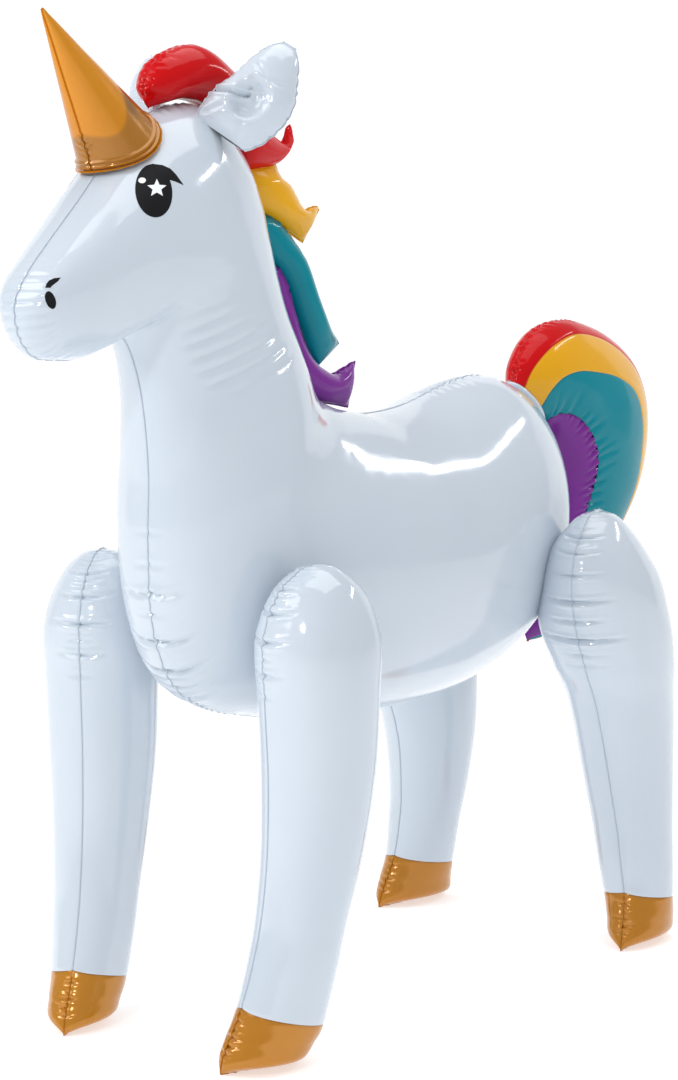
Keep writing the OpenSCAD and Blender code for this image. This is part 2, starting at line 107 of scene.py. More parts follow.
# Legs: forward and height of the front and back edge, half width outside and inside, lean
FRONT_LEG = [
    [[154, 2], [34, 2], 0.8, 0.8, 0],
    [[152, 18], [26, 12], 42, 42, 0],
    [[140, 46], [13, 30], 49, 49, 0],
    [[122, 82], [-1, 54], 53, 53, 0],
    [[102, 150], [-20, 130], 60, 60, 0],
    [[91, 200], [-34, 190], 63, 63, 0],
    [[80, 300], [-62, 296], 71, 71, 0],
    [[79, 400], [-79, 400], 79, 78, 0],
    [[84, 500], [-84, 500], 83, 80, 0],
    [[86, 580], [-88, 580], 82, 80, 0],
    [[64, 640], [-66, 640], 60, 64, 0],
    [[30, 672], [-30, 672], 30, 32, 0],
    [[8, 680], [-8, 680], 0, 0, 0],
]
REAR_LEG = [
    [[98, 2], [-68, 2], 0.8, 0.8, 36],
    [[94, 18], [-70, 14], 42, 42, 35],
    [[82, 48], [-66, 38], 50, 50, 33],
    [[68, 84], [-60, 68], 55, 55, 28],
    [[64, 150], [-62, 150], 62, 62, 19],
    [[66, 200], [-68, 200], 66, 66, 13],
    [[84, 300], [-79, 300], 77, 74, 3],
    [[122, 400], [-80, 400], 84, 82, 0],
    [[164, 460], [-66, 460], 94, 94, 0],
    [[204, 530], [-42, 530], 98, 106, 0],
    [[222, 600], [-12, 600], 90, 90, 0],
    [[216, 650], [30, 650], 70, 74, 2],
    [[192, 686], [70, 686], 48, 48, 4],
    [[168, 708], [98, 708], 27, 26, 4],
    [[144, 716], [124, 716], 0, 0, 4],
]
OUTSIDE, INSIDE, LEAN = 2, 3, 4     # places of these numbers in a leg's station
HOOF_END = 3          # station where the hoof's film meets the leg's
# Mane: distance back and height of the outer edge and of the inner edge, half width
MANE_RED = [
    [[-497, 1298], [-490, 1290], 0], [[-500, 1324], [-462, 1299], 24], [[-475, 1358], [-424, 1307], 36],
    [[-410, 1383], [-380, 1302], 42], [[-347, 1364], [-340, 1272], 41], [[-291, 1328], [-319, 1247], 37],
    [[-246, 1282], [-302, 1220], 29], [[-206, 1264], [-228, 1230], 18], [[-185, 1272], [-204, 1259], 11],
    [[-186, 1290], [-193, 1286], 0],
]
MANE_YELLOW = [
    [[-226, 1250], [-300, 1230], 0], [[-216, 1216], [-294, 1206], 22], [[-194, 1204], [-288, 1186], 26],
    [[-170, 1177], [-264, 1167], 27], [[-154, 1170], [-212, 1146], 24], [[-136, 1176], [-174, 1130], 16],
    [[-124, 1177], [-163, 1126], 8], [[-119, 1174], [-159, 1124], 0],
]
MANE_TEAL = [
    [[-226, 1164], [-282, 1160], 0], [[-214, 1150], [-274, 1146], 14], [[-180, 1120], [-240, 1104], 22],
    [[-157, 1090], [-206, 1072], 26], [[-134, 1044], [-180, 1024], 28], [[-108, 1006], [-156, 984], 25],
    [[-85, 989], [-137, 961], 16], [[-74, 981], [-125, 949], 7], [[-71, 979], [-121, 946], 0],
]
MANE_PURPLE = [
    [[-247, 1094], [-257, 1089], 0], [[-214, 1086], [-254, 1078], 8], [[-196, 1062], [-250, 1058], 13],
    [[-182, 1024], [-238, 1018], 18], [[-160, 976], [-212, 964], 21], [[-132, 948], [-180, 918], 24],
    [[-90, 932], [-128, 893], 25], [[-54, 942], [-72, 885], 18], [[-36, 950], [-55, 882], 8],
    [[-31, 951], [-50, 881], 0],
]
# Tail: the same, and how far across the red, yellow and teal end
TAIL = [
    [[400, 914], [478, 852], 26, 0.15, 0.68, 0.99],
    [[416, 954], [486, 846], 38, 0.15, 0.565, 0.985],
    [[468, 1000], [492, 840], 48, 0.165, 0.51, 0.895],
    [[548, 1018], [498, 832], 54, 0.13, 0.47, 0.85],
    [[638, 1006], [502, 818], 57, 0.1, 0.41, 0.8],
    [[730, 974], [503, 798], 58, 0.085, 0.315, 0.762],
    [[792, 926], [504, 772], 58, 0.075, 0.23, 0.73],
    [[822, 860], [504, 742], 57, 0.07, 0.215, 0.714],
    [[814, 780], [502, 706], 55, 0.065, 0.2, 0.745],
    [[783, 715], [500, 665], 52, 0.065, 0.2, 0.785],
    [[729, 655], [497, 625], 46, 0.07, 0.2, 0.8],
    [[665, 595], [490, 585], 38, 0.08, 0.2, 0.77],
    [[592, 535], [478, 550], 28, 0.06, 0.15, 0.60],
    [[520, 484], [462, 522], 17, 0.03, 0.08, 0.30],
    [[454, 476], [444, 494], 0, 0.02, 0.05, 0.15],
]
# The tail's collar: outer edge, inner edge, half width
COLLAR = [[[392, 902], [468, 842], 22], [[400, 913], [478, 851], 25]]
HORN_TIP = np.array([-689, 1398.7])
HORN_FRONT = np.array([-600, 1202])
HORN_BACK = np.array([-510, 1278])
HORN_R = 59
HORN_TIP_R = 2
HORN_DROP = 15        # how far the middle of the horn's base dips onto the forehead
EAR_BASE = np.array([78, -412, 1258])
EAR_TIP = np.array([132, -340, 1383])
EAR_SIDE = np.array([0.56, 0.30, -0.77])
# Ear: across and along, from its base, of each chord's two ends, and half width
EAR = [
    [[-50, -9], [29, -9], 6], [[-54, 12], [43, 12], 19], [[-51, 42], [52, 48], 25],
    [[-42, 68], [49, 80], 26], [[-36, 98], [36, 106], 22], [[-26, 127], [22, 130], 14],
    [[-12, 145], [6, 146], 0],
]


def mount(name):
    """Place of a mount of the record, in millimetres."""
    return np.array(next(m["pos_m"] for m in frame["record"]["mounts"] if m["name"] == name)) / MM


def turned(degrees):
    """The directions across and away, turned about the vertical."""
    a = math.radians(degrees)
    return np.array([math.cos(a), math.sin(a), 0]), np.array([-math.sin(a), math.cos(a), 0])


def leg_place(leg, sole, toe_out):
    """Origin and directions of a left leg, from the middle of its sole weld."""
    out, back = turned(toe_out)
    forward = (leg[0][0][0] + leg[0][1][0]) / 2
    origin = mount(sole) - leg[0][LEAN] * out + forward * back
    return np.array([origin, out, back, [0, 0, 1]])


FRONT_PLACE = leg_place(FRONT_LEG, "sole_front_left", -FRONT_TOE_IN)
REAR_PLACE = leg_place(REAR_LEG, "sole_rear_left", REAR_TOE_OUT)
CENTRE = np.array([0, FRONT_PLACE[0][1] - FRONT_LEG_Y, 0])
PLAIN = np.array([CENTRE, [1, 0, 0], [0, 1, 0], [0, 0, 1]])


# ---- Camera ----

CAMERA_AZIMUTH, CAMERA_ELEVATION = 37.436, 4.750
CAMERA_DISTANCE, CAMERA_LENS = 3.5, 77.55
CAMERA_TARGET = Vector((0, -0.0695 + CENTRE[1] * MM, 0.6823))


def add_camera():
    a, e = math.radians(CAMERA_AZIMUTH), math.radians(CAMERA_ELEVATION)
    back = Vector((math.sin(a) * math.cos(e), -math.cos(a) * math.cos(e), math.sin(e)))
    camera = bpy.data.objects.new("camera", bpy.data.cameras.new("camera"))
    camera.data.lens = CAMERA_LENS
    camera.data.sensor_width = 36
    camera.location = CAMERA_TARGET + back * CAMERA_DISTANCE
    camera.rotation_euler = back.to_track_quat("Z", "Y").to_euler()
    bpy.context.scene.collection.objects.link(camera)
    bpy.context.scene.camera = camera


add_camera()


# ---- Grids of points ----

FINE_STEPS = 3000     # places at which a station list is measured


def curve(values, t):
    """Smooth curve through a list of numbers or points, at the places t."""
    v = np.asarray(values, float)
    t = np.asarray(t, float)
    i = np.clip(np.floor(t).astype(int), 0, len(v) - 2)
    u = t - i
    if v.ndim > 1:
        u = u[..., None]
    a, b, c, d = (v[np.clip(i + k, 0, len(v) - 1)] for k in (-1, 0, 1, 2))
    return b + 0.5 * u * (c - a + u * (2 * a - 5 * b + 4 * c - d + u * (3 * (b - c) + d - a)))


def column(stations, k):
    """The same number or point of every station."""
    return [s[k] for s in stations]


def even_rows(stations, count, first=0, last=None, width=2):
    """Places along a station list that give rows at even distances."""
    last = len(stations) - 1 if last is None else last
    t = np.linspace(first, last, FINE_STEPS)
    length = np.zeros(len(t) - 1)
    for k in (0, 1):
        length += np.linalg.norm(np.diff(curve(column(stations, k), t), axis=0), axis=1)
    length += 2 * abs(np.diff(curve(column(stations, width), t)))
    run = np.append(0, np.cumsum(length))
    return np.interp(np.linspace(0, run[-1], count + 1), run, t)


def angles(count, edge=0.25):
    """Angles from -90 to 90 degrees, closer together at the seams by the factor edge."""
    p = np.linspace(-1, 1, count + 1)
    return math.pi / 2 * (edge * p + (1 - edge) * np.sin(math.pi / 2 * p))


def section_grid(stations, t, angle, width=2, drop=0):
    """Points (out, back, up) of one side of a chamber: a row for each t, a column for each angle."""
    front, back = curve(column(stations, 0), t), curve(column(stations, 1), t)
    half_w = np.maximum(curve(column(stations, width), t), 0)
    half = (back - front) / 2
    half_length = np.maximum(np.linalg.norm(half, axis=1), 1e-6)
    across = np.stack([half[:, 1], -half[:, 0]], 1) / half_length[:, None]
    sine, cosine = np.sin(angle), np.cos(angle)
    if angle.ndim == 1:
        sine, cosine = sine[None, :], cosine[None, :]
    flat = (front + half)[:, None] + half[:, None] * sine[..., None]
    sag = across * np.reshape(drop * np.ones(len(t)), (-1, 1))
    flat = flat + sag[:, None] * (cosine ** 2)[..., None]
    return np.concatenate([(half_w[:, None] * cosine)[..., None], flat], 2)


def normals(grid):
    """Outward direction at each point of a grid."""
    n = -np.cross(np.gradient(grid, axis=0), np.gradient(grid, axis=1))
    return n / np.maximum(np.linalg.norm(n, axis=2), TINY)[..., None]


def run_along(grid, axis):
    """Distance along each line of a grid from its start."""
    step = np.linalg.norm(np.diff(grid, axis=axis), axis=2)
    zero = np.zeros((1, grid.shape[1])) if axis == 0 else np.zeros((grid.shape[0], 1))
    return np.concatenate([zero, np.cumsum(step, axis=axis)], axis=axis)


def fold_shape(x, swell, swell_width, sharpness):
    """Height across a fold, x widths away from its line: a dip, and a soft swell beside it."""
    return swell * np.exp(-((x - SWELL_AT) / swell_width) ** 2) - np.exp(-x ** sharpness)


class Sheet:
    """A grid with its distances from and along its front, back, start and end edges, and its relief."""

    def __init__(self, grid, t):
        self.grid, self.t = grid, t
        across = run_along(grid, 1)
        down = run_along(grid, 0)
        self.from_edge = {"front": across, "back": across[:, -1:] - across,
                          "start": down, "end": down[-1:] - down}
        self.along_edge = {"front": down[:, :1], "back": down[:, -1:],
                           "start": across[:1], "end": across[-1:]}
        self.relief = np.zeros(grid.shape[:2])

    def groove(self, edges, depth, width):
        """Lets the film dip into its welds."""
        for edge in edges:
            self.relief -= depth * np.exp(-(self.from_edge[edge] / width) ** 2)

    def place_of(self, edge, t):
        """Distance along an edge of the station place t."""
        return np.interp(t, self.t, self.along_edge[edge][:, 0])

    def crease(self, edge, at, reach, depth, width, tilt=0.0):
        """A sharp fold that crosses a seam and dies away from it, with a soft swell on each side."""
        away = self.from_edge[edge]
        bow = BOW * (away / reach) ** 2 * reach
        x = (self.along_edge[edge] - at - tilt * away - bow) / width
        fade = np.clip(1 - away / reach, 0, 1) ** 0.8
        self.relief += FOLD_GAIN * depth * fade * fold_shape(abs(x), 0.4, 1.3, 1.3)

    def fold(self, points, depth, width):
        """A fold along a line drawn in the side view, with a swell on each side."""
        flat = self.grid[..., 1:]
        near = np.full(flat.shape[:2], np.inf)
        for start, end in zip(np.array(points[:-1], float), np.array(points[1:], float)):
            line = end - start
            part = np.clip((flat - start) @ line / (line @ line), 0, 1)
            near = np.minimum(near, np.linalg.norm(flat - start - part[..., None] * line, axis=2))
        self.relief += depth * fold_shape(near / width, 0.35, 1.2, 1.5)

    def fan(self, edge, first, last, count, reach, depth, width, seed, tilt=0.0):
        """A row of fine puckers along a seam, none quite like the next."""
        rng = np.random.default_rng(seed)
        for at in np.linspace(first, last, count):
            jitter = rng.uniform(-0.3, 0.3) * (last - first) / count
            self.crease(edge, at + jitter, reach * rng.uniform(0.55, 1.25), depth * rng.uniform(0.4, 1.2),
                        width * rng.uniform(0.8, 1.3), tilt + rng.uniform(-0.12, 0.12))

    def ripple(self, height, size, seed):
        """Slow waves that break up the highlights of a film that isn't quite taut."""
        rng = np.random.default_rng(seed)
        for _ in range(7):
            way = rng.normal(size=3)
            way *= 2 * math.pi / (np.linalg.norm(way) * size * rng.uniform(0.7, 1.6))
            self.relief += height / 3 * np.sin(self.grid @ way + rng.uniform(0, 2 * math.pi))

    def shaped(self):
        """The grid moved outward by its relief."""
        return self.grid + normals(self.grid) * self.relief[..., None]


# ---- Meshes ----

ALL_ROUND = ("start", "back", "end", "front")
SHARP_DEGREES = 38    # an edge that turns more than this is shaded as sharp


def mesh_piece(name, verts, faces, material, tone=None):
    """A smooth mesh object with one material, and a tone for each vertex where one is given."""
    mesh = bpy.data.meshes.new(name)
    mesh.from_pydata(np.asarray(verts, float).tolist(), [], [list(map(int, f)) for f in faces])
    mesh.validate()
    mesh.polygons.foreach_set("use_smooth", [True] * len(mesh.polygons))
    mesh.set_sharp_from_angle(angle=math.radians(SHARP_DEGREES))
    if tone is not None:
        mesh.attributes.new("tone", "FLOAT", "POINT").data.foreach_set("value", np.asarray(tone, np.float32))
    piece = bpy.data.objects.new(name, mesh)
    piece.data.materials.append(material)
    bpy.context.scene.collection.objects.link(piece)
    return piece


def placed(points, place):
    """Points (out, back, up) of a place, in the frame's metres."""
    return (place[0] + points[..., :1] * place[1] + points[..., 1:2] * place[2]
            + points[..., 2:3] * place[3]) * MM


def thick_sheet(verts, quads, offsets):
    """A sheet and its inner copy, closed round every open border."""
    count = len(verts)
    edges = np.concatenate([quads[:, [k, (k + 1) % 4]] for k in range(4)])
    code = edges[:, 0] * count + edges[:, 1]
    reverse = edges[:, 1] * count + edges[:, 0]
    border = edges[~np.isin(code, reverse)]
    rim = np.stack([border[:, 1], border[:, 0], border[:, 0] + count, border[:, 1] + count], 1)
    both_skins = np.concatenate([verts, verts + offsets])
    return both_skins, np.concatenate([quads, quads[:, ::-1] + count, rim])


def outward_from(seam, inner, closed):
    """Directions in the weld's plane that point out of a seam, away from the points inner."""
    ahead, behind = np.roll(seam, -2, 0), np.roll(seam, 2, 0)
    if not closed:
        ahead[-2:], behind[:2] = seam[-1], seam[0]
    way = ahead - behind
    out = np.stack([np.zeros(len(seam)), way[:, 2], -way[:, 1]], 1)
    if np.sum(out * (seam - inner)) < 0:
        out = -out
    for _ in range(3):
        near = np.roll(out, 1, 0) + out + np.roll(out, -1, 0)
        if not closed:
            near[0], near[-1] = out[0], out[-1]
        out = near
    return out / np.maximum(np.linalg.norm(out, axis=1), TINY)[:, None]


def border_path(rows, cols, seams):
    """Indices of a grid's welded edges, in one run round it."""
    runs = {"start": [c for c in range(cols)],
            "back": [r * cols + cols - 1 for r in range(rows)],
            "end": [(rows - 1) * cols + c for c in range(cols - 1, -1, -1)],
            "front": [r * cols for r in range(rows - 1, -1, -1)]}
    path = []
    for edge in ALL_ROUND:
        if edge in seams:
            path += [i for i in runs[edge] if not path or i != path[-1]]
    closed = len(seams) == 4
    if closed:
        path.pop()
    return np.array(path), closed


def film_sheet(sheet, place, seams, flange=FLANGE, lean=None, tone=None):
    """Vertices, faces and tone of one film with its weld flange, in the frame's metres."""
    grid = sheet.shaped()
    rows, cols = grid.shape[:2]
    inward = -normals(grid) * FILM_T
    parts = {"front": np.s_[:, 0], "back": np.s_[:, -1], "start": np.s_[0], "end": np.s_[-1]}
    for edge, part in parts.items():
        if edge in seams:
            grid[part][..., 0] = 0
            inward[part] = (-FILM_T, 0, 0)
    grid[..., 0] += SEAM_X
    if lean is not None:
        grid[..., 0] += lean[:, None]
    verts, inward = grid.reshape(-1, 3), inward.reshape(-1, 3)
    i = (np.arange(rows - 1)[:, None] * cols + np.arange(cols - 1)).ravel()
    quads = np.stack([i, i + 1, i + cols + 1, i + cols], 1)
    tones = np.zeros(len(verts)) if tone is None else tone.ravel()
    if seams:
        path, closed = border_path(rows, cols, seams)
        inner_row = np.clip(path // cols, 2, rows - 3)
        inner_col = np.clip(path % cols, cols // 6, cols - 1 - cols // 6)
        seam, inner = verts[path], verts.reshape(rows, cols, 3)[inner_row, inner_col]
        first, count = len(verts), len(path)
        verts = np.concatenate([verts, seam + outward_from(seam, inner, closed) * flange])
        inward = np.concatenate([inward, np.tile([-FILM_T, 0, 0], (count, 1))])
        tones = np.concatenate([tones, tones[path]])
        here = np.arange(count if closed else count - 1)
        following = (here + 1) % count
        strip = np.stack([path[following], path[here], first + here, first + following], 1)
        quads = np.concatenate([quads, strip])
    verts = placed(verts, place)
    inward = (inward[:, :1] * place[1] + inward[:, 1:2] * place[2] + inward[:, 2:3] * place[3]) * MM
    if np.linalg.det(place[1:]) < 0:
        quads = quads[:, ::-1]
    verts, quads = thick_sheet(verts, quads, inward)
    return verts, quads, np.tile(tones, 2)


def mirror_place(place):
    """The same place on the other side of the figure."""
    return place * np.array([-1, 1, 1])


def facing_back(place):
    """The same place with its outward axis turned the other way."""
    return np.array([place[0], -place[1], place[2], place[3]])


def joined(parts):
    """Several films as one mesh."""
    verts, faces, tones, first = [], [], [], 0
    for part_verts, part_faces, part_tones in parts:
        verts.append(part_verts)
        faces.append(part_faces + first)
        tones.append(part_tones)
        first += len(part_verts)
    return np.concatenate(verts), np.concatenate(faces), np.concatenate(tones)


def finish_film(piece, node):
    """Says what a film rides with, and hides the CAD node it replaces."""
    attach(piece, "figure")
    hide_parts(node)


# ---- Materials ----

NOISE_LOW, NOISE_HIGH = 0.3, 0.7     # most of a noise's values lie between these


def link(tree, a, b):
    tree.links.new(a, b)


def noise(tree, scale, detail=3.0, rough=0.5):
    """Noise fixed to the piece."""
    node = tree.nodes.new("ShaderNodeTexNoise")
    node.inputs["Scale"].default_value = scale
    node.inputs["Detail"].default_value = detail
    node.inputs["Roughness"].default_value = rough
    link(tree, tree.nodes["Texture Coordinate"].outputs["Object"], node.inputs["Vector"])
    return node.outputs["Fac"]


def ranged(tree, value, low, high):
    """Spreads the middle of a noise's values over the range from low to high."""
    node = tree.nodes.new("ShaderNodeMapRange")
    node.inputs["From Min"].default_value = NOISE_LOW
    node.inputs["From Max"].default_value = NOISE_HIGH
    node.inputs["To Min"].default_value = low
    node.inputs["To Max"].default_value = high
    link(tree, value, node.inputs["Value"])
    return node.outputs["Result"]


def mixed(tree, fac, a, b):
    """One colour mixed with another, each a tuple or a socket."""
    node = tree.nodes.new("ShaderNodeMix")
    node.data_type = "RGBA"
    link(tree, fac, node.inputs["Factor"])
    for socket, value in ((node.inputs[6], a), (node.inputs[7], b)):
        if isinstance(value, tuple):
            socket.default_value = (*value, 1)
        else:
            link(tree, value, socket)
    return node.outputs[2]


def vinyl(name, colour, shade, rough=(0.07, 0.16), metal=0.0, coat=0.4, tone_colour=None, specular=0.5):
    """Glossy film: slow colour drift, faint handling marks in the gloss, and a fine skin."""
    material = bpy.data.materials.new(name)
    material.use_nodes = True
    tree = material.node_tree
    shader = tree.nodes["Principled BSDF"]
    tree.nodes.new("ShaderNodeTexCoord")
    base = mixed(tree, ranged(tree, noise(tree, 3.5), 0, 1), colour, shade)
    if tone_colour:
        attribute = tree.nodes.new("ShaderNodeAttribute")
        attribute.attribute_name = "tone"
        base = mixed(tree, attribute.outputs["Fac"], base, tone_colour)
    link(tree, base, shader.inputs["Base Color"])
    link(tree, ranged(tree, noise(tree, 28, 4), *rough), shader.inputs["Roughness"])
    shader.inputs["Metallic"].default_value = metal
    shader.inputs["Coat Weight"].default_value = coat
    shader.inputs["Coat Roughness"].default_value = 0.05
    shader.inputs["IOR"].default_value = 1.54
    shader.inputs["Specular IOR Level"].default_value = specular
    bump = tree.nodes.new("ShaderNodeBump")
    bump.inputs["Strength"].default_value = 0.10
    bump.inputs["Distance"].default_value = 0.002
    link(tree, noise(tree, 45, 5, 0.55), bump.inputs["Height"])
    link(tree, bump.outputs["Normal"], shader.inputs["Normal"])
    return material


WHITE = vinyl("white_film", (0.585, 0.65, 0.72), (0.555, 0.62, 0.695))
# the gold's tone colour: painted shade at the horn's base; darker gold and a dark border line on the hooves
GOLD = vinyl("gold_film", (0.68, 0.265, 0.006), (0.60, 0.215, 0.005), rough=(0.12, 0.24), metal=0.2,
             coat=0.2, specular=0.4, tone_colour=(0.26, 0.115, 0.02))
RED = vinyl("red_film", (0.62, 0.004, 0.006), (0.52, 0.003, 0.005), coat=0.0, specular=0.15,
            tone_colour=(0.20, 0.002, 0.006))
YELLOW = vinyl("yellow_film", (0.80, 0.40, 0.004), (0.74, 0.35, 0.003), coat=0.0, specular=0.3,
               tone_colour=(0.45, 0.15, 0.01))
TEAL = vinyl("teal_film", (0.0, 0.24, 0.30), (0.0, 0.21, 0.265), coat=0.0, specular=0.17,
             tone_colour=(0.0, 0.09, 0.12))
PURPLE = vinyl("purple_film", (0.21, 0.024, 0.30), (0.175, 0.02, 0.25), coat=0.0, specular=0.24,
               tone_colour=(0.05, 0.01, 0.08))
VALVE = vinyl("valve_vinyl", (0.68, 0.73, 0.78), (0.62, 0.68, 0.74), rough=(0.2, 0.34))
INK = vinyl("black_ink", (0.006, 0.006, 0.007), (0.01, 0.01, 0.012), rough=(0.42, 0.5), coat=0.0,
            specular=0.1)
PRINT_WHITE = vinyl("white_ink", (0.90, 0.92, 0.95), (0.88, 0.90, 0.93), rough=(0.35, 0.4), coat=0.0,
                    specular=0.2)


# ---- Body ----

BODY_ROWS, BODY_COLS = 860, 48

# Folds across the body's weld: edge, station place, reach, depth, width, tilt
BODY_FOLDS = [
    ("front", 13.79, 34, 1.6, 2.8, -0.25), ("front", 13.44, 62, 4.0, 3.1, -0.25),
    ("front", 13.18, 40, 2.0, 2.6, -0.2), ("front", 12.78, 74, 4.6, 3.2, -0.2),
    ("front", 12.25, 78, 4.6, 3.3, -0.15), ("front", 11.85, 60, 3.0, 2.9, -0.1),
    ("front", 11.45, 54, 2.6, 4.0, 0.1), ("front", 14.2, 24, 0.9, 3.0, -0.2),
]

# Short folds round the muzzle's weld: start, run and depth
MUZZLE_FOLDS = [
    ((-724, 1090), (16, -6), 1.2), ((-738, 1066), (22, -5), 1.6), ((-748, 1046), (26, -2), 2.2),
    ((-750, 1028), (28, 1), 2.4), ((-750, 1010), (26, 4), 2.0), ((-746, 994), (26, 8), 2.4),
    ((-740, 980), (22, 12), 2.0), ((-730, 966), (18, 18), 2.2), ((-714, 954), (12, 18), 1.8),
    ((-696, 950), (8, 16), 1.6), ((-676, 948), (5, 14), 1.2),
]
MUZZLE_GAIN, MUZZLE_WIDTH = 0.6, 2.4
# Soft slanting folds under the jaw: the middle of the first, the step to the next, where the two ends
# lie for each millimetre of half length, and the half length and depth of each
NECK_FIRST, NECK_STEP = np.array([-478, 1020]), np.array([17, -15])
NECK_LOW, NECK_HIGH = np.array([1, 0.36]), np.array([1, 0.44])
NECK_WIDTH = 3.6
NECK_FOLDS = [(26, 0.8), (34, 1.1), (44, 1.4), (50, 1.6), (58, 1.4), (62, 1.7), (56, 1.2)]


def body_sheet():
    t = even_rows(BODY, BODY_ROWS)
    sheet = Sheet(section_grid(BODY, t, angles(BODY_COLS)), t)
    sheet.groove(ALL_ROUND, depth=0.6, width=2.2)
    for edge, place, *fold in BODY_FOLDS:
        sheet.crease(edge, sheet.place_of(edge, place), *fold)

    def puckers(edge, first, last, *row):
        sheet.fan(edge, sheet.place_of(edge, first), sheet.place_of(edge, last), *row)

    puckers("back", 4.6, 6.4, 9, 40, 2.0, 3.2, 11, 0.5)
    puckers("front", 10.2, 11.2, 9, 36, 1.7, 3.0, 12)
    puckers("front", 2.5, 4.6, 10, 40, 2.2, 3.4, 13)
    sheet.fan("start", 12, sheet.along_edge["start"][0, -1] - 12, 5, 34, 2.2, 3.4, 14)
    puckers("back", 20.6, 21.9, 7, 34, 1.8, 3.2, 15)
    for k, (length, depth) in enumerate(NECK_FOLDS):
        middle = NECK_FIRST + NECK_STEP * k
        sheet.fold([middle - NECK_LOW * length, middle + NECK_HIGH * length], depth, NECK_WIDTH)
    for start, run, depth in MUZZLE_FOLDS:
        sheet.fold([start, np.add(start, run)], MUZZLE_GAIN * depth, MUZZLE_WIDTH)
    sheet.ripple(height=0.3, size=170, seed=3)
    return sheet


def make_body():
    """Both side films. Gives the left one's surface, which legs and prints lie on."""
    sheet = body_sheet()
    films = {side: film_sheet(sheet, place, ALL_ROUND)
             for side, place in (("left", PLAIN), ("right", mirror_place(PLAIN)))}
    for side, (verts, faces, _) in films.items():
        finish_film(mesh_piece(f"body_film_{side}", verts, faces, WHITE), f"body_{side}_panel")
    verts, faces, _ = films["left"]
    return BVHTree.FromPolygons(verts.tolist(), faces.tolist())


left_body = make_body()


# ---- Legs and hooves ----

LEG_ROWS, LEG_COLS, HOOF_ROWS = 380, 40, 50
PRESS_GAP = 0.35      # distance between the body's film and a leg's film pressed on it
PRESS_REACH = 0.06    # how far from the body a leg's film is looked at, in metres
# Folds across a leg's weld: height, reach, depth, width
FRONT_FOLDS = [(649, 34, 2.4, 3.4), (632, 22, 1.4, 3.0), (617, 46, 3.6, 3.6), (579, 50, 4.2, 3.8),
               (556, 20, 1.4, 3.0), (534, 40, 2.8, 3.8), (505, 22, 1.0, 4.0)]
REAR_FOLDS = [(676, 40, 2.0, 3.4), (652, 46, 2.6, 3.4), (618, 50, 3.0, 3.6), (576, 66, 4.4, 4.0),
              (544, 56, 3.2, 3.8), (513, 84, 5.0, 4.2), (488, 50, 2.2, 4.0), (470, 44, 1.6, 4.0)]
FOLD_WIDTH_GAIN = 0.72    # width of a leg's folds, over the lists' values
BACK_DEPTH_GAIN = 0.8     # depth of the folds at the leg's back, over those at its front
BACK_SHIFT = 7            # how much further along its seam a fold lies at the back
# Folds across a hoof's toe: distance down from its border, reach and depth
TOE_FOLDS = [(8, 14, 0.9), (17, 20, 1.5), (31, 16, 1.1), (40, 24, 1.8), (54, 26, 2.3), (64, 18, 1.4)]
BORDER_PEAK = 6           # rise of the hoof's border where it meets the toe's seam
PEAK_STATIONS = 0.5       # how fast that rise fades along the leg
PEAK_ANGLE = 0.5          # and round it, in radians


def leg_chords(leg):
    """A leg's stations with distances to the back in place of forward ones."""
    return [[[-front[0], front[1]], [-back[0], back[1]], *rest] for front, back, *rest in leg]


def leg_grid(chords, t, width):
    """Grid of one side, with the border between leg and hoof drawn up to a peak at the toe."""
    angle = angles(LEG_COLS)
    grid = section_grid(chords, t, angle, width)
    near_border = np.exp(-((t - HOOF_END) / PEAK_STATIONS) ** 2)
    near_toe = np.exp(-(angle + math.pi / 2) / PEAK_ANGLE)
    grid[..., 2] += BORDER_PEAK * np.outer(near_border, near_toe)
    return grid


def add_leg_relief(sheet, heights, folds, seed):
    """Folds at the listed heights, puckers at the domed top and slow waves."""
    for edge in ("front", "back"):
        shift, gain = (0, 1) if edge == "front" else (BACK_SHIFT, BACK_DEPTH_GAIN)
        for height, reach, depth, width in folds:
            at = np.interp(height, heights, sheet.along_edge[edge][:, 0])
            sheet.crease(edge, at + shift, reach, gain * depth, FOLD_WIDTH_GAIN * width)
    end = sheet.along_edge["front"][-1, 0]
    for edge in ("front", "back"):
        sheet.fan(edge, end - 84, end - 5, count=13, reach=30, depth=1.3, width=2.4, seed=seed)
    sheet.ripple(height=0.5, size=120, seed=seed + 1)


def add_hoof_relief(sheet, folds, seed):
    """Folds down the toe, and puckers along the sole's weld."""
    top = sheet.along_edge["front"][-1, 0]
    for k, (down, reach, depth) in enumerate(folds):
        sheet.crease("front", top - down, reach, depth, width=2.2, tilt=0.1 * (-1) ** k)
    heel = sheet.along_edge["start"][0, -1]
    sheet.fan("start", 14, heel - 10, count=6, reach=14, depth=0.8, width=3.0, seed=seed)


def leg_sheet(leg, outward, first, last, rows, folds, seed):
    """One side of a leg, or of its hoof where there are no folds, and how far each row leans."""
    chords = leg_chords(leg)
    width = OUTSIDE if outward else INSIDE
    t = even_rows(chords, rows, first, last, width)
    sheet = Sheet(leg_grid(chords, t, width), t)
    welded, border = ("end", "start") if folds else ("start", "end")
    sheet.groove(("front", "back", welded), depth=0.6, width=2.2)
    sheet.groove((border,), depth=0.8, width=2.4)
    if folds:
        heights = curve([front[1] for front, *_ in chords], t)
        add_leg_relief(sheet, heights, folds, seed)
    else:
        add_hoof_relief(sheet, TOE_FOLDS if outward else TOE_FOLDS[1::2], seed)
    lean = curve(column(chords, LEAN), t)
    return sheet, lean if outward else -lean


